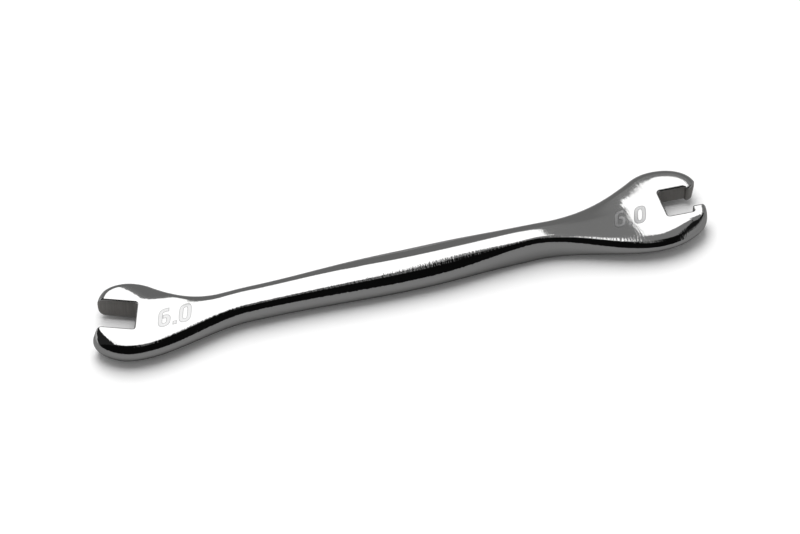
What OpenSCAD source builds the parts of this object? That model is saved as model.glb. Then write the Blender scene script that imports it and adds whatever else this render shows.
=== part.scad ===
// A double-ended spoke wrench forged in one piece: a slim waisted handle, an open jaw at
// the left end and a hooked jaw at the right end. Lengths are in millimetres. X runs along
// the handle and Z is up. The wrench lies flat, with the lowest spot of its belly at Z = 0
// and the middle of its length and width over the origin.

/* [Handle] */
// Width of the belly, the widest spot of the handle
belly_w = 7.6; // [7:0.1:8.4]
// Thickness of the belly
belly_t = 6.4; // [6:0.1:6.8]
// Distance from the belly to the narrow neck behind the open jaw
neck_a_run = 29; // [27:0.1:31]
// Width of the neck behind the open jaw
neck_a_w = 5.8; // [5.2:0.1:6.2]
// Thickness of the neck behind the open jaw
neck_a_t = 5.4; // [5:0.1:5.8]
// Distance from the belly to the narrow neck behind the hooked jaw
neck_b_run = 20.8; // [19:0.1:22]
// Width of the neck behind the hooked jaw
neck_b_w = 5.2; // [4.8:0.1:5.6]
// Thickness of the neck behind the hooked jaw
neck_b_t = 5.6; // [5.2:0.1:5.8]

/* [Open jaw head] */
// Distance from the belly to the centre of the open jaw's round head
head_a_run = 51.4; // [50:0.1:53]
// How far the head's centre lies off the handle's line, to the far side
head_a_side = 2; // [1.6:0.1:2.4]
// Diameter of the head
head_a_d = 16; // [15.6:0.1:16.4]
// Distance from the head's centre to its blunt front
head_a_reach = 6.3; // [6.1:0.1:6.5]
// Thickness of the head
head_a_t = 4.4; // [4:0.1:4.6]
// Turn of the jaw away from the handle's line, in degrees
jaw_a_turn = 22.5; // [20:0.5:25]
// Turn of the head's blunt front away from the handle's line, in degrees
front_a_turn = 18.5; // [16:0.5:22]
// Distance from the head's centre to where its far edge runs into the neck
flank_a_far = 17; // [16:0.1:18]
// Distance from the head's centre to where its near edge runs into the neck
flank_a_near = 20.4; // [19.5:0.1:21]

/* [Hooked jaw head] */
// Distance from the belly to the centre of the hooked jaw's round head
head_b_run = 44.6; // [43.5:0.1:46]
// How far the head's centre lies off the handle's line, to the far side
head_b_side = 1.1; // [0.8:0.1:1.4]
// Diameter of the head
head_b_d = 16.6; // [16.2:0.1:17]
// Distance from the head's centre to its blunt front
head_b_reach = 7.3; // [7.1:0.1:7.5]
// Thickness of the head
head_b_t = 3.4; // [3.2:0.1:3.8]
// Turn of the jaw away from the handle's line, in degrees
jaw_b_turn = -2; // [-4:0.5:1]
// Turn of the head's blunt front away from the handle's line, in degrees
front_b_turn = 1.5; // [-1:0.5:4]
// How far the head's far front corner bulges past its round edge
bulge_b = 0.3; // [0.2:0.05:0.5]
// Distance from the head's centre to where its far edge runs into the neck
flank_b_far = 22.2; // [21.5:0.1:23]
// Distance from the head's centre to where its near edge runs into the neck
flank_b_near = 24.4; // [23.8:0.1:25]

/* [Jaws] */
// Width of both jaws across their flats, the size of the spoke nipple
jaw_w = 6; // [5.8:0.1:6.2]
// Distance from the head's centre back to the open jaw's end wall, on its near side
jaw_a_back = 1.25; // [1.1:0.05:1.4]
// How far the open jaw's end wall leans forward from its near side to its far side
jaw_a_lean = 0.3; // [0.2:0.05:0.4]
// Distance from the head's centre back to the hooked jaw's end wall
jaw_b_back = 0.3; // [0.2:0.05:0.5]
// How far the hooked jaw sits off its head's centre, to the near side
jaw_b_side = 0.4; // [0.3:0.05:0.5]
// Distance from the head's centre forward to the far hook
hook_far_at = 4.7; // [4.5:0.05:4.9]
// How far the far hook stands into the jaw
hook_far_h = 0.55; // [0.4:0.05:0.6]
// Distance from the head's centre forward to the near hook
hook_near_at = 4.7; // [4.5:0.05:4.9]
// How far the near hook stands into the jaw
hook_near_h = 1.3; // [1.2:0.05:1.35]

/* [Rounding] */
// Depth of the rounded rim round both heads
rim_d = 1.45; // [1.2:0.05:1.6]
// Rounding where the jaws break through the flat faces of the heads
edge_r = 0.3; // [0.2:0.05:0.35]
// Radius of the corners at the end wall of the jaws
corner_r = 0.6; // [0.4:0.05:0.7]
// Radius at the foot of the hooks
hook_foot_r = 0.45; // [0.35:0.05:0.5]
// Radius on the inner edge of the hooks
hook_tip_r = 0.4; // [0.36:0.05:0.5]
// Radius on the mouth corner of the far hook
lip_far_r = 1.2; // [1:0.1:1.3]
// Radius on the other mouth corners
lip_r = 0.5; // [0.4:0.05:0.7]

/* [Hidden] */

// Shape of the cross-sections: 2 is an ellipse, and more is squarer
belly_power = 2.1;
neck_power = 3.2;
head_power = 2.2;
// How much thicker the belly's round section would be if it weren't cut flat on top and
// underneath, as a share of its thickness. The flat keeps the wrench from rolling.
belly_flat_share = 0.015;
// Sharpness of the far and near corners where a head's blunt front meets its round edge
corners_a = [10, 8.5];
corners_b = [14, 7];
// Share of the mouth over which one corner's sharpness passes into the other's
corner_share = 0.5;
// Directions, from the head's centre, in which its round edge turns into the handle's edge
flank_a_far_at = 46;
flank_a_near_at = -97;
flank_b_far_at = 119.5;
flank_b_near_at = -60.5;
// Distance behind a head's centre over which its faces stay flat
flat_run = 5;
// The furthest that a spoke of the shape may lean from square to the edge
least_square = 0.35;
// How far a cutting tool reaches past the part
tool_over = 3;
// Direction of the slanted mouth corners, in degrees from the jaw's flats
lip_turn = 50;
// How far the middle of a hook's rounded mouth corner lies behind the front, in its radii
far_lip_share = 1.8;
near_lip_share = 1.6;
// How far the cutting tool's last slanted step runs past the rounded edge, in its radii
lift_share = 0.5;
// Places of the two points from which the ends of a cutting tool fan out, from the head's
// centre and in shares of its reach: one in the mouth and one in the jaw's room
mouth_share = 0.78;
room_share = 0.35;

// Numbers of steps in the shape
flank_steps = 16;
handle_steps = 42;
front_steps = 32;
rim_steps = 14;
corner_steps = 4;

neck_a_x = -neck_a_run;
neck_b_x = neck_b_run;
head_a = [-head_a_run, head_a_side];
head_b = [head_b_run, head_b_side];
mouth_a = 180 - jaw_a_turn;
mouth_b = jaw_b_turn;
front_a = 180 - front_a_turn;
front_b = front_b_turn;
stations = [head_a[0] + flat_run, neck_a_x, 0, neck_b_x, head_b[0] - flat_run];

// A smooth start and a smooth stop between 0 and 1
function ease(u) = (1 - cos(180 * min(1, max(0, u)))) / 2;
function between(a, b, u) = a + (b - a) * u;

// The value at X, smoothly from one station along the wrench to the next
function leg(x, v, i) = between(v[i], v[i + 1], ease((x - stations[i]) / (stations[i + 1] - stations[i])));
function along(x, v) = leg(x, v, x < stations[1] ? 0 : x < stations[2] ? 1 : x < stations[3] ? 2 : 3);

function half_width(x) = along(min(neck_b_x, max(neck_a_x, x)), [neck_a_w, neck_a_w, belly_w, neck_b_w, neck_b_w]) / 2;
function half_thick(x) = along(x, [head_a_t, neck_a_t, belly_t, neck_b_t, head_b_t]) / 2;
function rim_depth(x) = along(x, [rim_d, neck_a_w / 2, belly_w / 2, neck_b_w / 2, rim_d]);
function section_power(x) = along(x, [head_power, neck_power, belly_power, neck_power, head_power]);
function round_share(x) = 1 + along(x, [0, 0, belly_flat_share, 0, 0]);

// Distance from a head's centre to its edge: a circle with a blunt front, whose two corners
// differ, and a bulge in the far one. The turn is counted from the front to the far side.
function corner_power(turn, corners) = between(corners[1], corners[0], ease(sin(turn) / corner_share + 1 / 2));
function blunted(r, along, p) = pow(pow(1 / r, p) + pow(along, p), -1 / p);
function edge_reach(turn, r, reach, corners, bulge) =
    blunted(r, max(0, cos(turn)) / reach, corner_power(turn, corners))
    + (cos(turn) > 0 && sin(turn) > 0 ? bulge * pow(sin(2 * turn), 2) : 0);
function edge_a(dir) =
    head_a + edge_reach(front_a - dir, head_a_d / 2, head_a_reach, corners_a, 0) * [cos(dir), sin(dir)];
function edge_b(dir) =
    head_b + edge_reach(dir - front_b, head_b_d / 2, head_b_reach, corners_b, bulge_b) * [cos(dir), sin(dir)];

// A curve from height y0 with slope s0 to height y1, level there, over the length l
function run_out(y0, s0, y1, l, u) =
    (2 * pow(u, 3) - 3 * pow(u, 2) + 1) * y0 + (pow(u, 3) - 2 * pow(u, 2) + u) * l * s0
    + (3 * pow(u, 2) - 2 * pow(u, 3)) * y1;

// The edge from a head's round part, at the direction dir, to the neck
function flank(start, dir, neck_x, end_x, end_y, u) =
    let (x = between(start[0], neck_x, u), v = min(1, (x - start[0]) / (end_x - start[0])))
    [x, run_out(start[1], -cos(dir) / sin(dir), end_y, end_x - start[0], v)];

function flank_a(dir, run, side, u) =
    flank(edge_a(dir), dir, neck_a_x, head_a[0] + run, side * neck_a_w / 2, u);
function flank_b(dir, run, side, u) =
    flank(edge_b(dir), dir, neck_b_x, head_b[0] - run, side * neck_b_w / 2, u);

// The bone is the line down the middle of the wrench. Each point of the edge has a place on it.
bone_count = 2 * flank_steps + handle_steps;
function handle_x(k) = between(neck_a_x, neck_b_x, k / (handle_steps - 1));
function bone(k) =
    k < flank_steps ? between(head_a, [neck_a_x, 0], k / flank_steps) :
    k < flank_steps + handle_steps ? [handle_x(k - flank_steps), 0] :
    between(head_b, [neck_b_x, 0], (k - flank_steps - handle_steps) / flank_steps);
bone_b = flank_steps + handle_steps;

// The whole edge seen from above, anticlockwise from the far side of the hooked jaw, each
// entry with its point and the number of its place on the bone
edge = concat(
    [for (j = [0 : flank_steps - 1])
        [flank_b(flank_b_far_at, flank_b_far, 1, j / flank_steps), bone_b + j]],
    [for (j = [handle_steps - 1 : -1 : 0])
        [[handle_x(j), half_width(handle_x(j))], flank_steps + j]],
    [for (j = [flank_steps - 1 : -1 : 0])
        [flank_a(flank_a_far_at, flank_a_far, 1, j / flank_steps), j]],
    [for (j = [1 : front_steps - 1])
        [edge_a(between(flank_a_far_at, 360 + flank_a_near_at, j / front_steps)), 0]],
    [for (j = [0 : flank_steps - 1])
        [flank_a(flank_a_near_at, flank_a_near, -1, j / flank_steps), j]],
    [for (j = [0 : handle_steps - 1])
        [[handle_x(j), -half_width(handle_x(j))], flank_steps + j]],
    [for (j = [flank_steps - 1 : -1 : 0])
        [flank_b(flank_b_near_at, flank_b_near, -1, j / flank_steps), bone_b + j]],
    [for (j = [1 : front_steps - 1])
        [edge_b(between(flank_b_near_at, flank_b_far_at, j / front_steps)), bone_b]]);
edge_count = len(edge);
edge_x = [for (e = edge) e[0][0]];
edge_y = [for (e = edge) e[0][1]];
middle = [(min(edge_x) + max(edge_x)) / 2, (min(edge_y) + max(edge_y)) / 2];

// One cross-section: from the edge point towards the bone it rises as a rounded rim
function rim_row(i) =
    let (p = edge[i][0],
         ahead = edge[(i + 1) % edge_count][0],
         behind = edge[(i + edge_count - 1) % edge_count][0],
         b = bone(edge[i][1]),
         way = b - p,
         square = abs(cross(ahead - behind, way)) / (norm(ahead - behind) * norm(way)),
         depth = min(norm(way), rim_depth(b[0]) / max(least_square, square)),
         power = section_power(b[0]),
         fuller = round_share(b[0]),
         t = half_thick(b[0]),
         last = asin(pow(1 / fuller, power / 2)))
    [for (r = [0 : rim_steps])
        let (a = between(-last, last, r / rim_steps),
             q = p + way / norm(way) * depth * (1 - pow(max(0, cos(a)), 2 / power)))
        [q[0], q[1], t * fuller * sign(a) * pow(abs(sin(a)), 2 / power)]];

rows = rim_steps + 1;
rim_points = [for (i = [0 : edge_count - 1]) each rim_row(i)];
top_points = [for (k = [0 : bone_count - 1]) [bone(k)[0], bone(k)[1], half_thick(bone(k)[0])]];
low_points = [for (k = [0 : bone_count - 1]) [bone(k)[0], bone(k)[1], -half_thick(bone(k)[0])]];
top_at = edge_count * rows;
low_at = top_at + bone_count;

// Two triangles over four corners, or one where two of them are the same bone point
function pair(a, b, c, d) = c == d ? [[a, b, c]] : [[a, b, c], [a, c, d]];

body_faces = [for (i = [0 : edge_count - 1])
    let (j = (i + 1) % edge_count, p = i * rows, q = j * rows, bi = edge[i][1], bj = edge[j][1])
    each concat(
        [for (r = [0 : rim_steps - 1]) each pair(p + r, p + r + 1, q + r + 1, q + r)],
        pair(q + rim_steps, p + rim_steps, top_at + bi, top_at + bj),
        pair(p, q, low_at + bj, low_at + bi))];

module forged_shape() {
    polyhedron(points = concat(rim_points, top_points, low_points), faces = body_faces);
}

// A round corner of a jaw's outline: points and the way into the metal at each of them.
// Side is 1 where the centre lies in the jaw and -1 where it lies in the metal.
function corner(c, r, a0, a1, side) =
    [for (k = [0 : corner_steps])
        let (a = between(a0, a1, k / corner_steps))
        [c + r * [cos(a), sin(a)], side * [cos(a), sin(a)]]];

// A point further on along the slanted lip, past the front of the head
function lip_end(p, up) = [p[0] + tool_over * [cos(lip_turn), up * sin(lip_turn)], p[1]];

jaw_h = jaw_w / 2;

// The open jaw's outline, seen along its mouth, as a far half and a near half
open_lip = head_a_reach - lip_r;
open_far_lip = corner([open_lip, jaw_h + lip_r], lip_r, 270 + lip_turn, 270, -1);
open_far = concat([lip_end(open_far_lip[0], 1)], open_far_lip,
    corner([corner_r + jaw_a_lean - jaw_a_back, jaw_h - corner_r], corner_r, 90, 180, 1));
open_near_lip = corner([open_lip, -jaw_h - lip_r], lip_r, 90 - lip_turn, 90, -1);
open_near = concat([lip_end(open_near_lip[0], -1)], open_near_lip,
    corner([corner_r / 2 - jaw_a_back, corner_r / 2 - jaw_h], corner_r / 2, 270, 180, 1));

// The hooked jaw's outline in the same way, with a hook on each side of its mouth
far_h = jaw_h - hook_far_h;
far_wall = hook_far_at + hook_tip_r;
far_lip_x = head_b_reach - far_lip_share * lip_far_r;
hooked_far_lip = corner([far_lip_x, far_h + lip_far_r], lip_far_r, 270 + lip_turn, 270, -1);
hooked_far = concat([lip_end(hooked_far_lip[0], 1)], hooked_far_lip,
    corner([far_wall, far_h + hook_tip_r], hook_tip_r, 270, 225, -1),
    corner([hook_far_at - hook_foot_r / 2, jaw_h - hook_foot_r], hook_foot_r, 45, 90, 1),
    corner([corner_r - jaw_b_back, jaw_h - corner_r], corner_r, 90, 180, 1));
near_h = jaw_h - hook_near_h;
near_wall = hook_near_at + hook_tip_r;
near_lip_x = head_b_reach - near_lip_share * lip_r;
hooked_near_lip = corner([near_lip_x, -near_h - lip_r], lip_r, 90 - lip_turn, 90, -1);
hooked_near = concat([lip_end(hooked_near_lip[0], -1)], hooked_near_lip,
    corner([near_wall, -near_h - hook_tip_r], hook_tip_r, 90, 180, -1),
    corner([hook_near_at - hook_foot_r, hook_foot_r - jaw_h], hook_foot_r, 0, -90, 1),
    corner([corner_r / 2 - jaw_b_back, corner_r / 2 - jaw_h], corner_r / 2, 270, 180, 1));

// The heights of the cutting tool and how far it has widened there, for a head t thick. The
// last step runs on as a slanted line, past the flat face.
function tool_level(t, turn) = [t / 2 - edge_r * (1 - sin(turn)), edge_r * (1 - cos(turn))];
function tool_levels(t) = [
    tool_level(t, 0), tool_level(t, 30), tool_level(t, 60),
    tool_level(t, 60) + lift_share * edge_r * [cos(60), sin(60)]];

// A tool with the jaw's outline, standing through the head, that rounds the edges it cuts.
// Its far half runs inwards and its near half outwards, so the points go once round. Each
// end is a fan of triangles from two points, one in the mouth and one in the jaw's room.
lip_count = corner_steps + 2;
module jaw_tool(far, near, t, reach) {
    up = tool_levels(t);
    levels = concat([for (k = [3 : -1 : 0]) [-up[k][0], up[k][1]]], up);
    ring = concat(far, [for (k = [len(near) - 1 : -1 : 0]) near[k]]);
    n = len(ring);
    top = 7 * n;
    fan = 8 * n;
    sides = [for (l = levels) each
        [for (e = ring) [e[0][0] + l[1] * e[1][0], e[0][1] + l[1] * e[1][1], l[0]]]];
    fans = [for (z = [-up[3][0], up[3][0]]) each [[reach * mouth_share, 0, z], [reach * room_share, 0, z]]];
    walls = [for (l = [0 : 6]) each [for (i = [0 : n - 1])
        let (j = (i + 1) % n)
        each pair(l * n + i, (l + 1) * n + i, (l + 1) * n + j, l * n + j)]];
    ends = [for (i = [0 : n - 1])
        let (j = (i + 1) % n,
             fi = i < lip_count || i >= n - lip_count ? 0 : 1,
             fj = j < lip_count || j >= n - lip_count ? 0 : 1)
        each concat(pair(i, j, fan + fj, fan + fi), pair(top + j, top + i, fan + 2 + fi, fan + 2 + fj))];
    polyhedron(points = concat(sides, fans), faces = concat(walls, ends));
}

module open_jaw() {
    translate(head_a) rotate(mouth_a) mirror([0, 1]) jaw_tool(open_far, open_near, head_a_t, head_a_reach);
}

module hooked_jaw() {
    translate(head_b) rotate(mouth_b) translate([0, -jaw_b_side])
        jaw_tool(hooked_far, hooked_near, head_b_t, head_b_reach);
}

module wrench_body() {
    color("silver") translate([-middle[0], -middle[1], belly_t / 2]) difference() {
        forged_shape();
        open_jaw();
        hooked_jaw();
    }
}

wrench_body();
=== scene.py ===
"""A double-ended spoke wrench, forged in one piece and chrome plated, dressed for rendering.

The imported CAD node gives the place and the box. The smooth body is worked out here from
the same sizes, with its two jaws, and the size marks lie on its heads.
"""
import math

import bpy
import numpy as np
from bpy.props import FloatProperty, FloatVectorProperty, PointerProperty
from bpy.types import Operator, Panel, PropertyGroup
from mathutils import Matrix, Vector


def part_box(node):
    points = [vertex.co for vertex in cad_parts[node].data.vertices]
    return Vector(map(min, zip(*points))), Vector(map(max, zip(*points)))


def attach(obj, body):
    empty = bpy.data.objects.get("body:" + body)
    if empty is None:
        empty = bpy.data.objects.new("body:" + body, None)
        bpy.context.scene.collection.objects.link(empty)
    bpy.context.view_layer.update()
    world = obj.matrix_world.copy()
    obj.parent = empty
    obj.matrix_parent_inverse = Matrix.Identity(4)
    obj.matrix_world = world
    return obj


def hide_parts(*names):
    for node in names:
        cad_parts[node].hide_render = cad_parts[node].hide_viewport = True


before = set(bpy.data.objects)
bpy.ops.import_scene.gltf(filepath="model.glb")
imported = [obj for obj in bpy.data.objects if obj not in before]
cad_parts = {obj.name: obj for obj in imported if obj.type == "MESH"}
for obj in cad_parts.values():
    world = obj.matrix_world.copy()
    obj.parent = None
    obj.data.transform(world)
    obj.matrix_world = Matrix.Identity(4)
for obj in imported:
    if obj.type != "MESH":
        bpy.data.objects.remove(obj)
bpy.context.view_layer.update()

bl_info = {
    "name": "Spoke wrench",
    "version": (1, 0, 0),
    "blender": (4, 5, 0),
    "location": "3D view > Sidebar > Spoke wrench",
    "description": "Builds a chrome spoke wrench, its size marks and its stage",
    "category": "Object",
}

NODE = "wrench_body"
BODY = "root"
MM = 0.001


def length(name, description, millimetres):
    """A property for a length, given in millimetres and kept in metres."""
    return FloatProperty(name=name, description=description, default=millimetres * MM,
                         unit="LENGTH", precision=5)


def lengths(name, description, *millimetres):
    """A property for lengths along X, Y and Z, or along the first two of them."""
    return FloatVectorProperty(name=name, description=description, size=len(millimetres),
                               default=[v * MM for v in millimetres], unit="LENGTH",
                               precision=5)


def turn(name, description, degrees):
    """A property for an angle, given in degrees and kept in radians."""
    return FloatProperty(name=name, description=description, default=math.radians(degrees),
                         unit="ROTATION")


def share(name, description, value):
    """A property for a share or another plain number."""
    return FloatProperty(name=name, description=description, default=value)


def colour(name, description, value):
    """A property for a colour, in linear red, green and blue."""
    return FloatVectorProperty(name=name, description=description, default=value,
                               subtype="COLOR", min=0, max=1)


class HandleSizes(PropertyGroup):
    """Sizes of the waisted handle."""
    belly_w: length("Belly width", "Width of the belly, the widest spot of the handle", 7.6)
    belly_t: length("Belly thickness", "Thickness of the belly", 6.4)
    belly_power: share("Belly power", "Shape of the belly's section, 2 for an ellipse", 2.1)


class HeadSizes(PropertyGroup):
    """Sizes of one head, with the neck that carries it."""
    neck_run: length("Neck", "Distance from the belly to the neck", 29)
    neck_w: length("Neck width", "Width of the neck", 5.4)
    neck_t: length("Neck thickness", "Thickness of the neck", 5.05)
    thin_run: length("Thinning", "Distance from the belly to where the thinning starts", 29)
    neck_far: share("Neck's far power", "Shape of the neck's far side, more is squarer", 5)
    neck_near: share("Neck's near power", "Shape of the neck's near side", 2.2)
    neck_rim: length("Neck's near rim", "Depth of the rounded rim on the neck's near side", 2.3)
    run: length("Head", "Distance from the belly to the head's centre", 51.4)
    side: length("Head offset", "How far the centre lies off the handle's line", 2)
    diameter: length("Diameter", "Diameter of the head", 16)
    reach: length("Reach", "Distance from the centre to the blunt front", 6.2)
    thickness: length("Thickness", "Thickness of the head", 4.4)
    front_turn: turn("Front turn", "Turn of the blunt front off the handle's line", 20)
    power_far: share("Far corner", "Sharpness of the front's far corner", 10)
    power_near: share("Near corner", "Sharpness of the front's near corner", 10)
    bulge: length("Bulge", "How far the far corner bulges past the round edge", 0)
    flank_far_at: turn("Far flank at", "Where the round edge turns into the far flank", 134)
    flank_near_at: turn("Near flank at", "Where the round edge turns into the near flank", -83)
    flank_far: length("Far flank", "Distance from the centre to the far flank's end", 17)
    flank_near: length("Near flank", "Distance from the centre to the near flank's end", 20.4)
    rim_far: length("Far rim", "Depth of the rounded rim on the far side", 1.45)
    rim_near: length("Near rim", "Depth of the rounded rim on the near side", 2.4)
    rim_front: length("Front rim", "Depth of the rounded rim at the near prong's front", 1.45)
    round_far: share("Far rim shape", "Shape of the far rim, where 2 is an ellipse", 2.2)
    round_near: share("Near rim shape", "Shape of the near rim, where 2 is an ellipse", 2)
    crown: length("Crown", "How far the polished face falls off to its far edge", 0.07)
    crown_run: length("Crown width", "Distance over which the face falls off", 3.2)
    dish: length("Dish", "How much further it falls off in the ground dish", 0.3)
    dish_run: length("Dish width", "Distance over which the dish falls off", 5.2)
    dish_at: turn("Dish at", "Direction of the dish from the head's centre", 128)
    dish_turn: turn("Dish spread", "Half the angle that the dish takes up", 46)
    jaw_turn: turn("Jaw turn", "Turn of the jaw off the handle's line", 22.5)
    jaw_side: length("Jaw offset", "How far the jaw sits off the centre, to the near side", 0)
    jaw_back: length("Jaw back", "Distance from the centre back to the jaw's end wall", 1.25)
    lean_far: length("Far lean", "How far the end wall leans forward on its far side", 0.3)
    lean_near: length("Near lean", "How far the end wall leans forward on its near side", 0)


class JawSizes(PropertyGroup):
    """Sizes that both jaws share, and the hooks of the hooked one."""
    width: length("Width", "Width across the flats", 6)
    corner: length("Corner", "Radius of the corners at the end wall", 0.6)
    edge: length("Edge", "Rounding where a jaw breaks through a flat face", 0.3)
    lip_far: length("Far lip", "Radius on the open jaw's far mouth corner", 0.8)
    lip_near: length("Near lip", "Radius on the open jaw's near mouth corner", 1)
    hook_lip_far: length("Far hook's lip", "Radius on the far hook's mouth corner", 1.2)
    hook_lip_near: length("Near hook's lip", "Radius on the near hook's mouth corner", 0.7)
    far_turn: turn("Far lip turn", "Direction of the far slanted corners off the flats", 60)
    near_turn: turn("Near lip turn", "Direction of the near slanted corners off the flats", 72)
    hook_at: length("Hooks at", "Distance from the head's centre forward to the hooks", 4.7)
    hook_far: length("Far hook", "How far the far hook stands into the jaw", 0.55)
    hook_near: length("Near hook", "How far the near hook stands into the jaw", 1.3)
    hook_foot: length("Hook foot", "Radius at the foot of the hooks", 0.45)
    hook_tip: length("Hook tip", "Radius on the inner edge of the hooks", 0.4)


class FinishSettings(PropertyGroup):
    """Colours and finishes of the wrench."""
    chrome: colour("Chrome", "Colour of the polished chrome", (0.72, 0.72, 0.715))
    chrome_rough: share("Chrome roughness", "Roughness of the polished chrome", 0.045)
    ripple: share("Ripple", "Strength of the polishing ripple on the faces", 0.14)
    rim_ripple: share("Rim ripple", "Strength of the polishing ripple on the rims", 1.3)
    cut: colour("Jaw faces", "Colour of the machined jaw faces", (0.50, 0.485, 0.465))
    cut_rough: share("Jaw roughness", "Roughness of the machined jaw faces", 0.42)
    mark: colour("Size marks", "Colour of the frosted size marks", (0.62, 0.62, 0.62))
    mark_edge: colour("Mark edges", "Colour of the marks' darker edges", (0.34, 0.34, 0.345))
    mark_rough: share("Mark roughness", "Roughness of the frosted size marks", 0.16)


class MarkSizes(PropertyGroup):
    """Sizes of the size numbers on the heads, which read 6.0."""
    height: length("Height", "Height of a digit between its strokes' middles", 3.1)
    width: length("Width", "Width of a digit between its strokes' middles", 1.46)
    stroke: length("Stroke", "Width of a digit's strokes", 0.76)
    pitch: length("Pitch", "Distance from digit to digit", 3.65)
    slant: share("Slant", "How far the digits lean forward, as a share of their height", 0.33)
    lift: length("Lift", "Height of the frosted marks over the polished face", 0.008)
    open_at: lengths("On the open head", "Place of its first digit", -42.44, -1.46)
    hooked_at: lengths("On the hooked head", "Place of its first digit", 39.31, -1.63)


class StageSettings(PropertyGroup):
    """Camera and studio."""
    azimuth: turn("Azimuth", "Direction of the camera round the wrench", -16.505)
    elevation: turn("Elevation", "Height of the camera above the horizon", 48.52)
    distance: length("Distance", "Distance from the camera to its aim point", 708.7)
    aim: lengths("Aim", "The camera's aim point", -0.1735, 0.018, 3.2)
    picture: length("Picture width", "Width of the picture at the aim point", 138.29)
    floor_tone: share("Floor tone", "Tone in which the metal sees the floor", 0.22)
    softbox_at: lengths("Softbox place", "Place of the softbox", -12.15, 164.25, 450)
    softbox_size: lengths("Softbox size", "Width and depth of the softbox", 326.7, 571.5)
    softbox_power: share("Softbox power", "Power with which the metal sees the softbox", 0.75)
    softbox_turn: turn("Softbox turn", "Turn of the softbox about the vertical", -16)
    key_power: share("Key power", "Power of the same light on the floor alone", 1.7)
    fill_tone: share("Fill tone", "Tone of the studio's soft light on the floor", 0.4)


# Numbers of steps in the smooth body
HANDLE_STEPS = 90
FLANK_STEPS = 46
ARM_STEPS = 56
TIP_STEPS = 60
LEAD_ROWS = 14
FLAT_ROWS = 10
WALL_ROWS = 10
EDGE_STEPS = 800
JAW_SPACING = 0.02 * MM
# How the steps grow: along the prong's tip from the mouth, and inwards over the flat face
TIP_GROWTH = 1.2
FLAT_GROWTH = 1.5
# The distance behind a head's centre over which its faces stay flat, and where its arms of
# mesh begin
FLAT_RUN = 5 * MM
ARM_RUN = 4.6 * MM
# How far behind the front the open jaw's arms of mesh end, and the length of the slanted
# line out of a mouth
TIP_RUN = 2 * MM
SLANT_RUN = 5 * MM
# How far behind the front the far and the near lip are centred, in lip radii
OPEN_LIPS = (1.0, 2.0)
HOOKED_LIPS = (1.95, 1.4)
# Distances from the mouth over which the jaw's edges set in, in direction and in depth, and
# their first depth
EDGE_BLEND = 0.8 * MM
DEPTH_BLEND = 0.5 * MM
MOUTH_DEPTH = 1 * MM
# The most of the half thickness that the rounding beside the jaw may take
MOST_DROP = 0.45
# The most of a column that its first leg may take
MOST_LEAD = 0.8
# Where the head's rim passes from its near to its front depth, and its face from flat to
# crowned, as the sine of the direction from the jaw's line, with the spread of each
FRONT_AT, FRONT_SPREAD = -0.7, 0.3
CROWN_AT, CROWN_SPREAD = 0, 0.6
# The spread over which the blunt front's two corners pass into each other
CORNER_SPREAD = 0.5
# How far before and behind the hooks the matched stretches end, in roundings of the edge
# and in foot radii
BEFORE_HOOK = 2
BEHIND_HOOK = 1.3
# The share of the round edge over which the spokes turn from the centre to the arm
TURN_SHARE = 0.4
# The furthest that a spoke may lean from square to the edge
LEAST_SQUARE = 0.35
# Points closer than this are one, and edges bent more than this are sharp
WELD = 1e-5 * MM
SHARP = math.radians(40)
TINY = 1e-9

# Spacing of points along a digit's strokes, and the places of its grid across them, the
# outer ones in the darker border
STROKE_SPACING = 0.08 * MM
STROKE_PLACES = (-1, -0.8, -0.7, 0, 0.7, 0.8, 1)
STROKE_BORDERS = (1, 1, 0, 0, 0, 1, 1)
# The least share of a triangle's corner with which a point still lies on it
LEAST_SHARE = -0.01

# Textures: grains for each metre, their stretch along X, Y and Z, their depth, and the share
# by which they change the roughness or the tone
RIPPLE_SCALE = 900
RIPPLE_STRETCH = (3.2, 0.9, 1.6)
RIPPLE_DEPTH = 0.02 * MM
RIPPLE_ROUGH = 0.4
CUTTER_SCALE = 800
CUTTER_STRETCH = (4, 4, 0.3)
CUTTER_DEPTH = 0.01 * MM
CUTTER_STRENGTH = 0.3
CUTTER_TONE = 0.2
FROST_SCALE = 9000
FROST_TONE = 0.5
# The upright part of the normal at which a face counts as flat, and as a rim
FLAT_NORMAL = 0.985
RIM_NORMAL = 0.86

# The floor's reach from the wrench's middle, and the distances between which it passes into
# plain white
FLOOR_REACH = 2.0
WHITE_FROM = 110 * MM
WHITE_TO = 300 * MM
# The camera's sensor, in millimetres
SENSOR = 36
# The studio's zones, from the far horizon over the top to the near one: where each begins,
# in degrees, the places of its edges from left, -1, to right, 1, the tones between these
# edges, and their softness
STUDIO = (
    (0, (-0.5,), (0.5, 0.17), 0.02),
    (44, (-0.2,), (0.02, 0.22), 0.02),
    (58, (-0.2, 0.45, 0.78), (0.02, 0.22, 0.01, 0.2), 0.02),
    (105, (0.09, 0.18, 0.6, 0.72), (0.004, 0.24, 0.004, 0.05, 0.2), 0.02),
    (123, (0.58, 0.64), (0.004, 0.05, 0.24), 0.03),
)
# Half the angle over which one zone passes into the next, in degrees
STUDIO_SOFT = 2


def ease(u):
    """A smooth start and stop between 0 and 1: half of one minus the cosine."""
    return (1 - np.cos(np.pi * np.clip(u, 0, 1))) / 2


def joined(*parts, axis=0):
    """Arrays put together."""
    return np.concatenate(parts, axis)


def between(a, b, u):
    """The value at the share u of the way from a to b."""
    return a + (b - a) * u


def unit(v):
    """Vectors brought to a length of one."""
    return v / np.maximum(np.linalg.norm(v, axis=-1, keepdims=True), TINY)


def cross(a, b):
    """The cross product of flat vectors, a number."""
    return a[..., 0] * b[..., 1] - a[..., 1] * b[..., 0]


def pointing(angle):
    """Unit vectors in the directions angle."""
    return np.stack([np.cos(angle), np.sin(angle)], -1)


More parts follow.
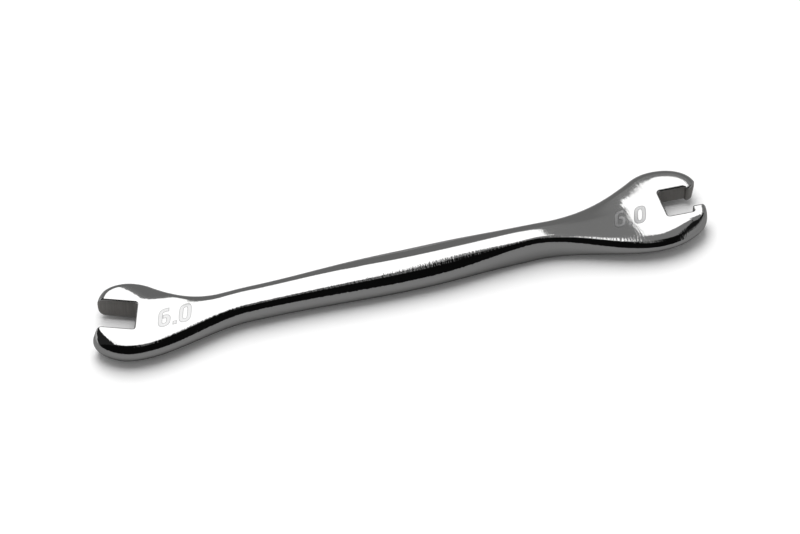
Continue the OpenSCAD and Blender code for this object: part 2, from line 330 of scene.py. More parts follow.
def distances(points):
    """How far each point of a line lies from its start, along the line."""
    return np.append(0, np.cumsum(np.linalg.norm(np.diff(points, axis=0), axis=1)))


def drawn(places, at, values):
    """Flat vectors given at the distances at, read off at other places."""
    return np.stack([np.interp(places, at, values[:, k]) for k in (0, 1)], -1)


def along(run, belly, neck, head, stations):
    """A value at a distance from the belly: eased from belly to neck and from neck to head."""
    near = between(belly, neck, ease(run / stations[0]))
    far = between(neck, head, ease((run - stations[0]) / (stations[1] - stations[0])))
    return np.where(run < stations[0], near, far)


class End:
    """One end of the wrench, seen from the belly outwards. Its first axis runs to the head
    and its second to the far side, so both ends are worked out alike."""

    def __init__(self, head, handle, jaws, hooked):
        self.head, self.handle, self.jaws, self.hooked = head, handle, jaws, hooked
        self.centre = np.array([head.run, head.side])
        self.stations = (head.neck_run, head.run - FLAT_RUN)

    def half_width(self, run):
        """Half the handle's width, level beyond the neck."""
        u = ease(run / self.head.neck_run)
        return between(self.handle.belly_w, self.head.neck_w, u) / 2

    def half_thick(self, run):
        """Half the thickness at a place on the bone."""
        h = self.head
        stations = (h.thin_run, self.stations[1])
        return along(run, self.handle.belly_t, h.neck_t, h.thickness, stations) / 2

    def rim_depth(self, run, far):
        """Depth of the rounded rim, the whole half width in the handle."""
        h = self.head
        neck = between(h.neck_rim, h.neck_w / 2, far)
        rim = between(h.rim_near, h.rim_far, far)
        return along(run, self.handle.belly_w / 2, neck, rim, self.stations)

    def power(self, run, far):
        """Shape of the cross-section at a place on the bone."""
        h = self.head
        neck = between(h.neck_near, h.neck_far, far)
        shape = between(h.round_near, h.round_far, far)
        return along(run, self.handle.belly_power, neck, shape, self.stations)

    def far_share(self, direction, middle, spread):
        """1 on the head's far side and 0 on its near side: the sine of the direction from
        the jaw's line passes the middle over the spread."""
        across = np.sin(direction - self.head.jaw_turn)
        return ease((across - middle) / spread + 0.5)

    def crown(self, direction, distance, whole, far):
        """How far the face falls off below flat: a parabola (1 - d/D)^2 of the distance d
        from the edge, deeper and wider in the ground dish."""
        h = self.head
        off = (direction - h.dish_at + math.pi) % (2 * math.pi) - math.pi
        dish = ease(1 - np.abs(off) / h.dish_turn)
        width = np.minimum(between(h.crown_run, h.dish_run, dish), whole)
        return far * (h.crown + h.dish * dish) * np.clip(1 - distance / width, 0, 1) ** 2

    def reach(self, direction):
        """Distance from the centre to the edge: a circle of radius r with a blunt front at
        the reach f, joined as (1/r)^p + (cos/f)^p, and a bulge in the far corner."""
        h = self.head
        t = direction - h.front_turn
        r = h.diameter / 2
        p = between(h.power_near, h.power_far, ease(np.sin(t) / CORNER_SPREAD + 0.5))
        c = np.maximum(np.cos(t), 0)
        far = (np.cos(t) > 0) & (np.sin(t) > 0)
        blunt = r * (1 + (c * r / h.reach) ** p) ** (-1 / p)
        return blunt + np.where(far, h.bulge * np.sin(2 * t) ** 2, 0)

    def edge(self, direction):
        """Points of the head's edge."""
        return self.centre + self.reach(direction)[..., None] * pointing(direction)

    def edge_way(self, direction):
        """The edge's own direction, from two points close by."""
        step = 1e-3
        return unit(self.edge(direction + step) - self.edge(direction - step))

    def height(self, points):
        """Height of the head's face above its middle plane: with q the distance in from the
        edge along the spoke, in rim depths, (1-q)^p + (z/t)^p = 1."""
        rel = points - self.centre
        direction = np.arctan2(rel[..., 1], rel[..., 0])
        r = np.hypot(rel[..., 0], rel[..., 1])
        h = self.head
        square = np.abs(cross(self.edge_way(direction), pointing(direction)))
        square = np.maximum(LEAST_SQUARE, square)
        front = self.far_share(direction, FRONT_AT, FRONT_SPREAD)
        face = self.far_share(direction, CROWN_AT, CROWN_SPREAD)
        distance = np.maximum(0, self.reach(direction) - r) * square
        rim = between(between(h.rim_near, h.rim_front, front), h.rim_far, face)
        q = np.clip(distance / rim, 0, 1)
        p = between(h.round_near, h.round_far, front)
        crown = self.crown(direction, distance, h.diameter / 2, face)
        return (h.thickness / 2 - crown) * (1 - (1 - q) ** p) ** (1 / p)

    def flank(self, side, share):
        """The edge from the head, share 0, to the neck, share 1: a cubic that leaves along
        the round edge and lands level on the handle's edge."""
        h = self.head
        at = h.flank_far_at if side > 0 else h.flank_near_at
        run = h.flank_far if side > 0 else h.flank_near
        start = self.edge(at)
        x = between(start[0], h.neck_run, share)
        span = h.run - run - start[0]
        v = np.minimum(1, (x - start[0]) / span)
        slope = -math.cos(at) / math.sin(at)
        y = ((2 * v**3 - 3 * v**2 + 1) * start[1] + (v**3 - 2 * v**2 + v) * span * slope
             + (3 * v**2 - 2 * v**3) * side * h.neck_w / 2)
        return np.stack([x, y], -1)

    def corner(self, centre, radius, start, stop, side):
        """A round corner of the jaw's outline with the way into the metal at each point. The
        centre lies in the jaw for side 1 and in the metal for side -1."""
        n = max(3, int(radius * abs(stop - start) / JAW_SPACING))
        out = pointing(np.linspace(start, stop, n))
        return np.array(centre) + radius * out, side * out

    def jaw_side_line(self, side):
        """One side of the jaw's outline, from outside its mouth in to the middle of its end
        wall, in the jaw's own frame: points, and the way into the metal."""
        j, h = self.jaws, self.head
        half, rt = j.width / 2, math.pi / 2
        far = side > 0
        parts = []
        lips = (j.hook_lip_far, j.hook_lip_near) if self.hooked else (j.lip_far, j.lip_near)
        lip = lips[0 if far else 1]
        backs = HOOKED_LIPS if self.hooked else OPEN_LIPS
        lip_turn = j.far_turn if far else j.near_turn
        hook = (j.hook_far if far else j.hook_near) if self.hooked else 0
        top = half - hook
        lip_centre = (h.reach - backs[0 if far else 1] * lip, top + lip)
        parts.append(self.corner(lip_centre, lip, 3 * rt + lip_turn, 3 * rt, -1))
        if self.hooked:
            tip, foot = j.hook_tip, j.hook_foot
            end = 5 * rt / 2 if far else 2 * rt
            parts.append(self.corner((j.hook_at + tip, top + tip), tip, 3 * rt, end, -1))
            shift = foot / 2 if far else foot
            begin = rt / 2 if far else 0
            parts.append(self.corner((j.hook_at - shift, half - foot), foot, begin, rt, 1))
        r = j.corner if far else j.corner / 2
        lean = h.lean_far if far else h.lean_near
        parts.append(self.corner((r + lean - h.jaw_back, half - r), r, rt, 2 * rt, 1))
        points = np.concatenate([p for p, _ in parts])
        into = np.concatenate([n for _, n in parts])
        slant = points[0] + SLANT_RUN * pointing(lip_turn)
        wall = np.array([(h.lean_far + h.lean_near) / 2 - h.jaw_back, 0])
        points = joined([slant], points, [wall])
        into = joined([into[0]], into, [[-1.0, 0.0]])
        flip = np.array([1, side])
        return points * flip, into * flip

    def jaw_line(self, side):
        """The same line in the end's frame, closely spaced and cut off at the head's edge."""
        points, into = self.jaw_side_line(side)
        at = distances(points)
        fine = np.unique(joined(at, np.arange(0, at[-1], JAW_SPACING)))
        points, into = drawn(fine, at, points), unit(drawn(fine, at, into))
        c, s = math.cos(self.head.jaw_turn), math.sin(self.head.jaw_turn)
        spin = np.array([[c, s], [-s, c]])
        points = (points - [0, self.head.jaw_side]) @ spin + self.centre
        into = into @ spin
        rel = points - self.centre
        over = np.hypot(*rel.T) - self.reach(np.arctan2(rel[:, 1], rel[:, 0]))
        k = np.nonzero(over > 0)[0][-1]
        u = over[k] / (over[k] - over[k + 1])
        first = between(points[k], points[k + 1], u)
        return joined([first], points[k + 1:]), joined([into[k]], into[k + 1:])

    def half(self, side):
        """All columns of one side, from the belly round the head to the middle of the jaw's
        end wall. A column has its start on the outline, the direction and length of its
        first leg, its end on the skeleton, and what its height needs."""
        h, j = self.head, self.jaws
        # the jaw's line, and where its matched stretch begins
        forth = pointing(h.jaw_turn)
        line, into = self.jaw_line(side)
        along_line = distances(line)
        forward = (line - self.centre) @ forth
        tip_run = j.hook_at + BEFORE_HOOK * j.edge if self.hooked else h.reach - TIP_RUN
        wall_run = j.hook_at - BEHIND_HOOK * j.hook_foot if self.hooked else tip_run
        wall_at = along_line[np.nonzero(forward > wall_run)[0][-1]]
        # the outer edge, and where its matched stretch ends
        at = h.flank_far_at if side > 0 else h.flank_near_at
        mouth = math.atan2(*(line[0] - self.centre)[::-1])
        turns = np.linspace(at, mouth, EDGE_STEPS)
        outer_run = (self.edge(turns) - self.centre) @ forth
        tip_at = turns[np.nonzero(outer_run < tip_run)[0][-1]]
        # the handle and the flank, whose spokes run to the bone as in the CAD
        arm_share = ARM_RUN / (h.run - h.neck_run)
        flank_part = np.linalg.norm(self.flank(side, arm_share) - self.flank(side, 0.0))
        arc_part = abs(tip_at - at) * h.diameter / 2
        flank_arm = round(ARM_STEPS * flank_part / (flank_part + arc_part))
        back = joined(np.linspace(1, arm_share, FLANK_STEPS + 1),
                      np.linspace(arm_share, 0, flank_arm + 1)[1:])
        run = np.linspace(0, h.neck_run, HANDLE_STEPS + 1)[:-1]
        start = joined(np.stack([run, side * self.half_width(run)], -1),
                       self.flank(side, back))
        neck = np.array([h.neck_run, 0.0])
        bone = joined(np.stack([run, 0 * run], -1),
                      between(self.centre, neck, back[:, None]))
        arm_at = HANDLE_STEPS + FLANK_STEPS
        way = unit(np.gradient(start, axis=0))
        spoke = unit(bone - start)
        square = np.maximum(LEAST_SQUARE, np.abs(cross(way, spoke)))
        whole = np.linalg.norm(bone - start, axis=1)
        far = float(side > 0)
        depth = np.minimum(whole, self.rim_depth(bone[:, 0], far) / square)
        # the round edge, from the flank to the jaw's mouth, and the jaw from there on
        outer_m = np.linspace(at, tip_at, ARM_STEPS - flank_arm + 1)[1:]
        outer_t = np.linspace(tip_at, mouth, TIP_STEPS + 1)[1:]
        edge_m, edge_t = self.edge(outer_m), self.edge(outer_t)
        edge_t[-1] = line[0]
        from_mouth = joined(
            wall_at * np.linspace(0, 1, TIP_STEPS + 1)[1:] ** TIP_GROWTH,
            between(wall_at, along_line[-1], np.linspace(0, 1, ARM_STEPS + 1)[1:]))
        wall = drawn(from_mouth, along_line, line)
        wall_into = unit(drawn(from_mouth, along_line, into))
        # the arm lies midway between the outer edge and the jaw, from the bone to the tip
        outer_arm = joined(start[arm_at:], edge_m)
        wall_arm = wall[TIP_STEPS - 1:][::-1]
        middle = (outer_arm + wall_arm) / 2
        tip = middle[-1] + forth * (tip_run - (middle[-1] - self.centre) @ forth)
        f = np.linspace(0, 1, ARM_STEPS + 1)[:, None]
        arm = middle + (bone[arm_at] - middle[0]) * (1 - f) ** 2 + (tip - middle[-1]) * f ** 4
        # put together: starts, ends and first legs
        starts = joined(start, edge_m, edge_t, wall)
        tips = np.repeat(tip[None], 2 * TIP_STEPS, 0)
        ends = joined(bone[:arm_at], arm, tips[1:], arm[::-1])
        spokes = len(start)
        walls = len(starts) - len(wall)
        index = np.arange(len(starts))
        to_end = unit(ends - starts)
        to_centre = unit(self.centre - starts)
        turned = ease((index - spokes) / (TURN_SHARE * len(edge_m)))[:, None]
        leads = unit(between(to_centre, to_end, turned))
        leads[:spokes] = spoke
        leads[walls:] = unit(between(to_end[walls:], wall_into,
                                     ease(from_mouth / EDGE_BLEND)[:, None]))
        edge_ways = self.edge_way(joined(outer_m, outer_t))
        head_square = np.maximum(LEAST_SQUARE, np.abs(cross(edge_ways, leads[spokes:walls])))
        wall_depth = between(MOUTH_DEPTH, j.edge, ease(from_mouth / DEPTH_BLEND))
        rim = between(h.rim_near, h.rim_far, far)
        depths = joined(depth, rim / head_square, wall_depth)
        reach = np.linalg.norm(ends - starts, axis=1)
        # the crown of the far flank, which ends at the bone and fades out towards the neck
        rel = starts - self.centre
        rest = len(starts) - spokes
        fade = joined(far * along(bone[:, 0], 0, 0, 1, self.stations), np.zeros(rest))
        squares = joined(square, np.ones(rest))
        run_on = joined(bone[:, 0], np.full(rest, h.run))
        # the rounding of the jaw's edges fades out at the very corner of the mouth
        width = joined(np.zeros(walls), j.edge * ease(from_mouth / EDGE_BLEND))
        inward = joined(np.zeros((walls, 2)), wall_into)
        return dict(
            start=starts, lead=leads,
            lead_length=np.minimum(depths, MOST_LEAD * reach), end=ends,
            depth=depths, width=width, inward=inward, wall=index >= walls, head=index >= spokes,
            run=run_on, power=self.power(run_on, far), fade=fade, square=squares,
            turn=np.arctan2(rel[:, 1], rel[:, 0]),
            bone=joined(whole * square, np.full(rest, h.diameter)))

    def columns(self, first):
        """Both sides joined, first side first, with no column twice."""
        a, b = self.half(first), self.half(-first)
        return {k: joined(a[k], b[k][-2:0:-1]) for k in a}

    def surface(self, col):
        """The upper face as a grid, with a row for each column. Along it lie a first leg,
        with its points close together at the edge, and a second leg to the skeleton.
        The height is (1-q)^p + (z/t)^p = 1, less the rounding beside the jaw."""
        a = np.linspace(0, np.pi / 2, LEAD_ROWS + 1)
        lead_length = col["lead_length"][:, None]
        s1 = lead_length * (1 - np.cos(a))
        u = np.linspace(0, 1, FLAT_ROWS + 1)[1:] ** FLAT_GROWTH
        bend = col["start"] + col["lead"] * lead_length
        leg1 = col["start"][:, None] + col["lead"][:, None] * s1[..., None]
        leg2 = between(bend[:, None], col["end"][:, None], u[None, :, None])
        xy = joined(leg1, leg2, axis=1)
        beyond = np.linalg.norm(leg2 - bend[:, None], axis=2)
        s = joined(s1, lead_length + beyond, axis=1)
        p = col["power"][:, None]
        q = np.clip(s / np.maximum(col["depth"][:, None], TINY), 0, 1)
        crown = self.crown(col["turn"][:, None], s * col["square"][:, None],
                           np.maximum(col["bone"], TINY)[:, None], col["fade"][:, None])
        full = self.half_thick(col["run"])[:, None] - crown
        z = full * (1 - (1 - q) ** p) ** (1 / p)
        face = self.height(xy)
        z = np.where(col["head"][:, None], face, z)
        away = np.einsum("ijk,ik->ij", xy - col["start"][:, None], col["inward"])
        width = np.maximum(col["width"], TINY)[:, None]
        g = 1 - np.sqrt(np.clip(1 - (1 - np.clip(away / width, 0, 1)) ** 2, 0, 1))
        drop = np.minimum(col["width"], MOST_DROP * face[:, 0])[:, None]
        z = z - np.where(col["wall"][:, None], drop * g, 0)
        return xy, z


def whole_outline(a, b):
    """Both ends' columns as one closed band of grid rows, anticlockwise from above. Each
    end starts over the belly, on its own first side."""
    xy_a, z_a = a.surface(a.columns(1))
    xy_b, z_b = b.surface(b.columns(-1))
    return joined(xy_a * [-1, 1], xy_b), joined(z_a, z_b)


def grid_quads(index):
    """Four corners of each cell of a grid of vertex numbers."""
    quads = np.stack([index[:-1, :-1], index[1:, :-1], index[1:, 1:], index[:-1, 1:]], -1)
    return quads.reshape(-1, 4)


def welded(points, faces):
    """Points on each other made one. Cells that lose a side become triangles or vanish."""
    keys = np.round(points / WELD).astype(np.int64)
    _, first, back = np.unique(keys, axis=0, return_index=True, return_inverse=True)
    faces = back.reshape(-1)[faces]
    same = faces == np.roll(faces, -1, axis=1)
    count = same.sum(1)
    whole = faces[count == 0]
    one = faces[count == 1]
    at = np.argmax(same[count == 1], axis=1)
    order = (at[:, None] + 1 + np.arange(3)[None]) % 4
    tris = np.take_along_axis(one, order, 1)
    return points[first], whole, tris, count


def new_piece(name, points, faces):
    """A mesh object at the origin from points in metres and lists of faces."""
    mesh = bpy.data.meshes.new(name)
    mesh.from_pydata(points.tolist(), [], faces)
    mesh.validate()
    mesh.update()
    piece = bpy.data.objects.new(name, mesh)
    bpy.context.scene.collection.objects.link(piece)
    return piece


def placed(points):
    """Points of the outline's frame moved and fitted into the CAD node's box."""
    low, high = (np.array(v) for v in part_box(NODE))
    own_low, own_high = points.min(0), points.max(0)
    own = (own_low + own_high) / 2
    fit = (high - low) / (own_high - own_low)
    return (points - own) * fit + (low + high) / 2


class WRENCH_OT_body(Operator):
    """Build the smooth forged body with both its jaws."""
    bl_idname = "wrench.body"
    bl_label = "Wrench body"

    def execute(self, context):
        scene = context.scene
        shared = (scene.wrench_handle, scene.wrench_jaws)
        xy, z = whole_outline(End(scene.open_head, *shared, False),
                              End(scene.hooked_head, *shared, True))
        n, rows = z.shape
        top = joined(xy, z[..., None], axis=2)
        low = top * [1, 1, -1]
        v = np.linspace(-1, 1, WALL_ROWS + 1)
        walls = np.empty((n, WALL_ROWS + 1, 3))
        walls[..., :2] = xy[:, :1]
        walls[..., 2] = z[:, :1] * v
        points = joined(*(part.reshape(-1, 3) for part in (top, low, walls)))
        ring = np.append(np.arange(n), 0)
        i_top = np.arange(n * rows).reshape(n, rows)[ring]
        i_low = i_top + n * rows
        i_wall = (np.arange(n * (WALL_ROWS + 1)).reshape(n, WALL_ROWS + 1) + 2 * n * rows)[ring]
        q_wall = grid_quads(i_wall)
        faces = joined(grid_quads(i_top), grid_quads(i_low)[:, ::-1], q_wall)
        kind = (np.arange(len(faces)) >= len(faces) - len(q_wall)).astype(int)
        points, quads, tris, count = welded(placed(points), faces)
        kinds = joined(kind[count == 0], kind[count == 1])
        piece = new_piece("forged_body", points, quads.tolist() + tris.tolist())
        if len(piece.data.polygons) != len(kinds):
            raise RuntimeError("the body's mesh lost faces")
        piece.data.materials.append(chrome_material(scene.wrench_finish))
        piece.data.materials.append(cut_material(scene.wrench_finish))
        piece.data.polygons.foreach_set("material_index", kinds)
        piece.data.polygons.foreach_set("use_smooth", np.ones(len(kinds), bool))
        piece.data.set_sharp_from_angle(angle=SHARP)
        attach(piece, BODY)
        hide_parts(NODE)
        return {"FINISHED"}


def arc(centre, half_sizes, start, stop, power=2.0, steps=24):
    """Points of a superellipse |x/a|^p + |y/b|^p = 1 between two angles."""
    t = np.linspace(start, stop, steps)
    c, v = np.cos(t), np.sin(t)
    x = np.sign(c) * np.abs(c) ** (2 / power)
    y = np.sign(v) * np.abs(v) ** (2 / power)
    return np.array(centre) + np.array(half_sizes) * np.stack([x, y], -1)


def digit_paths(sizes):
    """The middle lines of the strokes of 6, point and 0, each with its place along the
    number and whether it is closed. The digits stand on both sides of y = 0."""
    a, b = sizes.width / 2, sizes.height / 2
    quarter = math.pi / 2
    low = (0, -0.36 * b)
    six = joined(
        [[a, b], [0.3 * a, b]],
        arc((0.2 * a, 0.4 * b), (1.2 * a, 0.6 * b), quarter, 2 * quarter, 2.6)[1:],
        arc(low, (a, 0.64 * b), 2 * quarter, 4 * quarter, 2.8),
        arc(low, (a, 0.5 * b), 0, quarter, 2.8)[1:],
        [[-0.45 * a, 0.14 * b]])
    zero = arc((0, 0), (a, b), 0, 4 * quarter, 3.4, 97)[:-1]
    dot = np.array([[-0.4 * a, -b], [0.6 * a, -b]])
    return ((six, 0, False), (dot, 0.5, False), (zero, 1, True))


def evenly(path, spacing, closed):
    """A path with points at even distances."""
    line = joined(path, path[:1]) if closed else path
    at = distances(line)
    n = max(4, int(at[-1] / spacing))
    places = np.linspace(0, at[-1], n + 1)
    places = places[:-1] if closed else places
    return drawn(places, at, line)


def ribbon(path, closed, half):
    """A flat stroke along a path as a grid: points, and which lie in the dark border."""
    if closed:
        way = unit(np.roll(path, -1, axis=0) - np.roll(path, 1, axis=0))
    else:
        way = unit(np.gradient(path, axis=0))
    across = np.array(STROKE_PLACES)
    normal = np.stack([-way[:, 1], way[:, 0]], -1)
    grid = path[:, None] + normal[:, None] * across[None, :, None] * half
    border = np.broadcast_to(np.array(STROKE_BORDERS, float), grid.shape[:2]).copy()
    if not closed:
        border[:2] = border[-2:] = 1
    return grid, border


def slab(grid, height, lift, closed, first):
    """A thin closed slab from a flat grid and its heights, with its vertices numbered on
    from first."""
    rows, cols = grid.shape[:2]
    top = joined(grid, (height + lift)[..., None], axis=2)
    low = joined(grid, (height - lift)[..., None], axis=2)
    loop = joined(top, low[:, ::-1], axis=1)
    index = first + np.arange(rows * 2 * cols).reshape(rows, 2 * cols)
    around = joined(index, index[:, :1], axis=1)
    around = joined(around, around[:1]) if closed else around
    faces = grid_quads(around).tolist()
    if not closed:
        faces += [index[0].tolist(), index[-1, ::-1].tolist()]
    return loop.reshape(-1, 3), faces


class WRENCH_OT_marks(Operator):
    """Lay the frosted size numbers on both heads."""
    bl_idname = "wrench.marks"
    bl_label = "Size marks"

    def execute(self, context):
        sizes = context.scene.wrench_marks
        spots = (("open_head_marks", sizes.open_at), ("hooked_head_marks", sizes.hooked_at))
        body = bpy.data.objects["forged_body"]
        material = mark_material(context.scene.wrench_finish)
        for name, spot in spots:
            points, faces, borders = [], [], []
            for path, place, closed in digit_paths(sizes):
                path = evenly(path, STROKE_SPACING, closed)
                grid, border = ribbon(path, closed, sizes.stroke / 2)
                grid = grid + np.array([1, 0]) * sizes.slant * grid[..., 1:]
                grid = grid + (np.array(spot) + [place * sizes.pitch, 0])
                height = face_height(body, grid)
                loop, cells = slab(grid, height, sizes.lift, closed, sum(map(len, points)))
                points.append(loop)
                faces += cells
                borders.append(joined(border, border[:, ::-1], axis=1).reshape(-1))
            piece = new_piece(name, np.concatenate(points), faces)
            mask = piece.data.attributes.new("border", "FLOAT", "POINT")
            mask.data.foreach_set("value", np.concatenate(borders))
            piece.data.materials.append(material)
            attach(piece, BODY)
        return {"FINISHED"}


def face_height(body, grid):
    """Height of the body's upper face at each point of a grid, by the shares of the corners
    of the triangle that holds the point."""
    mesh = body.data
    mesh.calc_loop_triangles()
    corners = np.empty(3 * len(mesh.loop_triangles), np.int32)
    mesh.loop_triangles.foreach_get("vertices", corners)
    places = np.empty(3 * len(mesh.vertices), np.float32)
    mesh.vertices.foreach_get("co", places)
    tri = places.astype(float).reshape(-1, 3)[corners.reshape(-1, 3)]
    flat = grid.reshape(-1, 2)
    middle = tri[..., 2].max() / 2
    near = ((tri[..., :2].max(1) > flat.min(0)) & (tri[..., :2].min(1) < flat.max(0))).all(1)
    tri = tri[near & (tri[..., 2].min(1) > middle)]
    a, b, c = (tri[:, k, :2] for k in range(3))
    p = flat[:, None]
    whole = np.maximum(cross(b - a, c - a), TINY * TINY)
    v = cross(p - a, (c - a)[None]) / whole
    w = cross((b - a)[None], p - a) / whole
    shares = np.stack([1 - v - w, v, w], -1)
    least = shares.min(-1)
    held = least.argmax(1)
    row = np.arange(len(flat))
    if least[row, held].min() < LEAST_SHARE:
        raise RuntimeError("a size mark lies off the face")
    height = (shares[row, held] * tri[held, :, 2]).sum(1)
    return height.reshape(grid.shape[:2])


def wired(tree, kind, values=(), **settings):
    """A shader node with its settings, whose first inputs take values or outputs."""
    node = tree.nodes.new("ShaderNode" + kind)
    for name, value in settings.items():
        setattr(node, name, value)
    for socket, value in zip(node.inputs, values):
        if isinstance(value, bpy.types.NodeSocket):
            tree.links.new(value, socket)
        elif value is not None:
            socket.default_value = value
    return node


def maths(tree, operation, *values):
    """The output of a math node."""
    return wired(tree, "Math", values, operation=operation).outputs[0]


def past(tree, value, start, stop):
    """A mask that rises smoothly from 0 to 1 as the value passes from start to stop."""
    return wired(tree, "MapRange", (value, start, stop),
                 interpolation_type="SMOOTHSTEP").outputs[0]


def mixed(tree, mask, low, high):
    """The value low where the mask is 0 and high where it is 1."""
    return wired(tree, "Mix", (mask, None, low, high)).outputs[0]


def plain_material(name, roughness=None):
    """A material with its tree and shader, a metal where a roughness is given."""
    material = bpy.data.materials.new(name)
    material.use_nodes = True
    tree = material.node_tree
    shader = tree.nodes["Principled BSDF"]
    if roughness is not None:
        shader.inputs["Metallic"].default_value = 1
        shader.inputs["Roughness"].default_value = roughness
    return material, tree, shader


def grain(tree, scale, stretch=(1, 1, 1), detail=2):
    """Fine noise in the object's own place, stretched along X, Y and Z."""
    place = wired(tree, "TexCoord").outputs["Object"]
    stretched = wired(tree, "Mapping", (place,))
    stretched.inputs["Scale"].default_value = stretch
    noise = wired(tree, "TexNoise", (stretched.outputs[0],))
    noise.inputs["Scale"].default_value = scale
    noise.inputs["Detail"].default_value = detail
    return noise.outputs[0]


def spread(value, share_of):
    """A value less a share of it, and more by as much."""
    return (1 - share_of) * value, (1 + share_of) * value


def steepness(tree):
    """A mask that is 0 on the flat faces and 1 on the round edges."""
    normal = wired(tree, "NewGeometry").outputs["Normal"]
    up = wired(tree, "SeparateXYZ", (normal,)).outputs[2]
    return past(tree, maths(tree, "ABSOLUTE", up), FLAT_NORMAL, RIM_NORMAL)


def tint(tree, shader, mask, plain, full):
    """Give a shader the colour plain where the mask is 0 and full where it is 1."""
    tone = wired(tree, "Mix", data_type="RGBA")
    tone.inputs[6].default_value = (*plain, 1)
    tone.inputs[7].default_value = (*full, 1)
    tree.links.new(mask, tone.inputs[0])
    tree.links.new(tone.outputs[2], shader.inputs["Base Color"])


def emboss(tree, shader, height, depth, strength):
    """Give a shader the relief of a height, whose strength is a number or an output."""
    bump = wired(tree, "Bump", (strength, depth))
    tree.links.new(height, bump.inputs["Height"])
    tree.links.new(bump.outputs[0], shader.inputs["Normal"])


def chrome_material(finish):
    """Polished chrome with a ripple of fine grains, longer across the wrench than along it,
    weak on the faces and stronger on the rims."""
    material, tree, shader = plain_material("polished_chrome", finish.chrome_rough)
    shader.inputs["Base Color"].default_value = (*finish.chrome, 1)
    fine = grain(tree, RIPPLE_SCALE, RIPPLE_STRETCH)
    strength = mixed(tree, steepness(tree), finish.ripple, finish.rim_ripple)
    emboss(tree, shader, fine, RIPPLE_DEPTH, strength)
    rough = mixed(tree, fine, *spread(finish.chrome_rough, RIPPLE_ROUGH))
    tree.links.new(rough, shader.inputs["Roughness"])
    return material


def cut_material(finish):
    """Machined jaw faces, duller than the chrome, with faint upright cutter marks."""
    material, tree, shader = plain_material("machined_jaw", finish.cut_rough)
    lines = grain(tree, CUTTER_SCALE, CUTTER_STRETCH, 3)
    tint(tree, shader, lines, *zip(*(spread(c, CUTTER_TONE) for c in finish.cut)))
    emboss(tree, shader, lines, CUTTER_DEPTH, CUTTER_STRENGTH)
    return material


def mark_material(finish):
    """Frosted metal with a darker border along the strokes and a fine grain."""
    material, tree, shader = plain_material("frosted_marks", finish.mark_rough)
    border = wired(tree, "Attribute", attribute_name="border").outputs["Fac"]
    less = maths(tree, "SUBTRACT", border, FROST_TONE / 2)
    speck = maths(tree, "MULTIPLY_ADD", grain(tree, FROST_SCALE), FROST_TONE, less)
    tint(tree, shader, speck, finish.mark, finish.mark_edge)
    return material


class WRENCH_OT_stage(Operator):
    """Build the floor, the studio light and the camera."""
    bl_idname = "wrench.stage"
    bl_label = "Stage"

    def execute(self, context):
        stage = context.scene.wrench_stage
        make_camera(context.scene, stage)
        make_floor(stage)
        make_world(context.scene, stage)
        make_lamps(stage)
        return {"FINISHED"}


def make_camera(scene, stage):
    """A camera at the photograph's viewing angle: back is the way from the wrench to it."""
    a, e = stage.azimuth, stage.elevation
    back = np.array([math.sin(a) * math.cos(e), -math.cos(a) * math.cos(e), math.sin(e)])
    right = np.array([math.cos(a), math.sin(a), 0])
    m = np.eye(4)
    m[:3, :3] = np.stack([right, np.cross(back, right), back], -1)
    m[:3, 3] = np.array(stage.aim) + back * stage.distance
    data = bpy.data.cameras.new("camera")
    data.sensor_width = SENSOR
    data.sensor_fit = "HORIZONTAL"
    data.lens = SENSOR * stage.distance / stage.picture
    camera = bpy.data.objects.new("camera", data)
    camera.matrix_world = Matrix(m.tolist())
    scene.collection.objects.link(camera)
    scene.camera = camera


def make_floor(stage):
    """A wide pale floor, which passes into plain white away from the wrench and its shadow.
    The metal sees it darker."""
    corners = FLOOR_REACH * np.array([[-1, -1, 0], [1, -1, 0], [1, 1, 0], [-1, 1, 0]])
    floor = new_piece("floor", corners, [[0, 1, 2, 3]])
    material, tree, shader = plain_material("pale_floor")
    path = wired(tree, "LightPath")
    tone = mixed(tree, path.outputs["Is Glossy Ray"], 1.0, stage.floor_tone)
    tree.links.new(tone, shader.inputs["Base Color"])
    shader.inputs["Roughness"].default_value = 1
    shader.inputs["Specular IOR Level"].default_value = 0
    place = wired(tree, "TexCoord").outputs["Object"]
    length_of = wired(tree, "VectorMath", (place,), operation="LENGTH")
    away = past(tree, length_of.outputs["Value"], WHITE_FROM, WHITE_TO)
    white = maths(tree, "MULTIPLY", away, path.outputs["Is Camera Ray"])
    plain = wired(tree, "Emission", ((1, 1, 1, 1), 1.0))
    both = wired(tree, "MixShader", (white, shader.outputs[0], plain.outputs[0]))
    tree.links.new(both.outputs[0], tree.nodes["Material Output"].inputs["Surface"])
    floor.data.materials.append(material)


def zones(tree, across, edges, tones, soft):
    """Tones side by side over the value across, each passing softly into the next."""
    tone = tones[0]
    for edge, after in zip(edges, tones[1:]):
        tone = mixed(tree, past(tree, across, edge - soft, edge + soft), tone, after)
    return tone


def make_world(scene, stage):
    """The dim studio round the wrench, white only to the camera. Its tones follow how far
    round a direction lies, from the far horizon to the near one, and how far aside."""
    world = bpy.data.worlds.new("studio")
    world.use_nodes = True
    tree = world.node_tree
    background = tree.nodes["Background"]
    place = wired(tree, "TexCoord").outputs["Generated"]
    side, far, up = wired(tree, "SeparateXYZ", (place,)).outputs
    over = maths(tree, "ARCTAN2", up, far)
    tone = zones(tree, side, *STUDIO[0][1:])
    for begins, *zone in STUDIO[1:]:
        start, stop = (math.radians(begins + way * STUDIO_SOFT) for way in (-1, 1))
        tone = mixed(tree, past(tree, over, start, stop), tone, zones(tree, side, *zone))
    path = wired(tree, "LightPath")
    tone = mixed(tree, path.outputs["Is Diffuse Ray"], tone, stage.fill_tone)
    tone = mixed(tree, path.outputs["Is Camera Ray"], tone, 1.0)
    tree.links.new(tone, background.inputs["Color"])
    scene.world = world
    scene.view_settings.view_transform = "Standard"


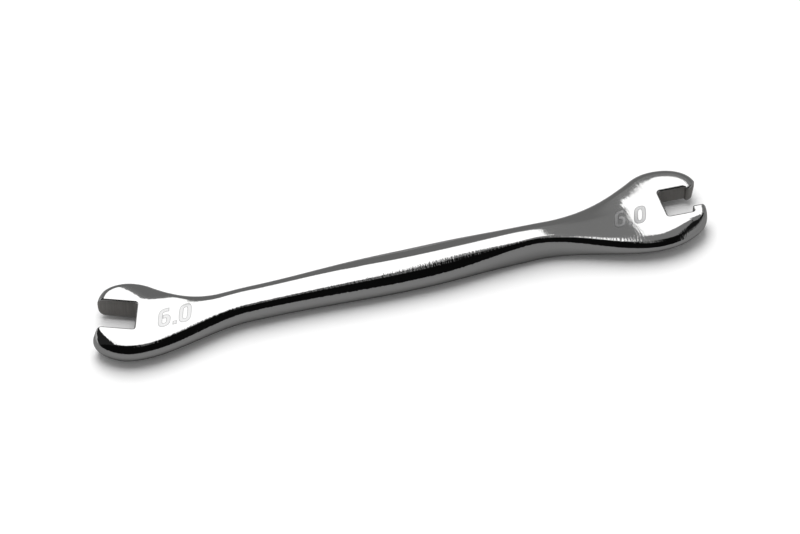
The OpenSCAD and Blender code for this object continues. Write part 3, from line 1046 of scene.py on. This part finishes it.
def make_lamps(stage):
    """One wide softbox overhead, reaching to the far side. A second lamp in its place
    lights the floor alone."""
    for name, power, seen in (("softbox", stage.softbox_power, True),
                              ("floor_key", stage.key_power, False)):
        data = bpy.data.lights.new(name, "AREA")
        data.shape = "RECTANGLE"
        data.size, data.size_y = stage.softbox_size
        data.energy = power
        lamp = bpy.data.objects.new(name, data)
        bpy.context.scene.collection.objects.link(lamp)
        lamp.location = stage.softbox_at
        lamp.rotation_euler = (0, 0, stage.softbox_turn)
        lamp.visible_glossy = seen


class WRENCH_PT_panel(Panel):
    """The wrench's sizes and finishes, and its parts."""
    bl_idname = "WRENCH_PT_panel"
    bl_label = "Spoke wrench"
    bl_space_type = "VIEW_3D"
    bl_region_type = "UI"
    bl_category = "Spoke wrench"

    def draw(self, context):
        for operator in OPERATORS:
            self.layout.operator(operator.bl_idname)
        for name in GROUPS:
            group = getattr(context.scene, name)
            box = self.layout.box()
            for key in group.__annotations__:
                box.prop(group, key)


GROUPS = {
    "wrench_handle": HandleSizes, "open_head": HeadSizes, "hooked_head": HeadSizes,
    "wrench_jaws": JawSizes, "wrench_marks": MarkSizes, "wrench_finish": FinishSettings,
    "wrench_stage": StageSettings,
}
OPERATORS = [WRENCH_OT_body, WRENCH_OT_marks, WRENCH_OT_stage]
CLASSES = [HandleSizes, HeadSizes, JawSizes, MarkSizes, FinishSettings, StageSettings,
           *OPERATORS, WRENCH_PT_panel]
# Where the hooked head differs from the open one: millimetres, degrees and plain numbers
HOOKED_HEAD = (
    (MM, dict(
        neck_run=20.8, neck_w=5.2, neck_t=5.9, thin_run=16.5, run=44.6, side=1.05,
        diameter=16.5, reach=7.45, thickness=3.4, bulge=0.35, flank_far=22.2,
        flank_near=24.4, jaw_side=0.2, jaw_back=0.3, lean_far=0, lean_near=0.2,
        rim_front=0.9, neck_rim=1.3, crown=0.08, crown_run=2.4, dish=0)),
    (math.radians(1), dict(front_turn=0, flank_far_at=119.5, flank_near_at=-60.5,
                           jaw_turn=-2)),
    (1, dict(power_far=14, power_near=10, neck_far=3.6, neck_near=2.2)),
)


def register():
    """Make the panel, the operators and the sizes known."""
    for cls in CLASSES:
        bpy.utils.register_class(cls)
    for name, group in GROUPS.items():
        setattr(bpy.types.Scene, name, PointerProperty(type=group))


def unregister():
    """Take them away again."""
    for name in GROUPS:
        delattr(bpy.types.Scene, name)
    for cls in reversed(CLASSES):
        bpy.utils.unregister_class(cls)


def main():
    register()
    hooked = bpy.context.scene.hooked_head
    for size, values in HOOKED_HEAD:
        for key, value in values.items():
            setattr(hooked, key, value * size)
    bpy.ops.wrench.stage()
    bpy.ops.wrench.body()
    bpy.ops.wrench.marks()


if __name__ == "__main__":
    main()
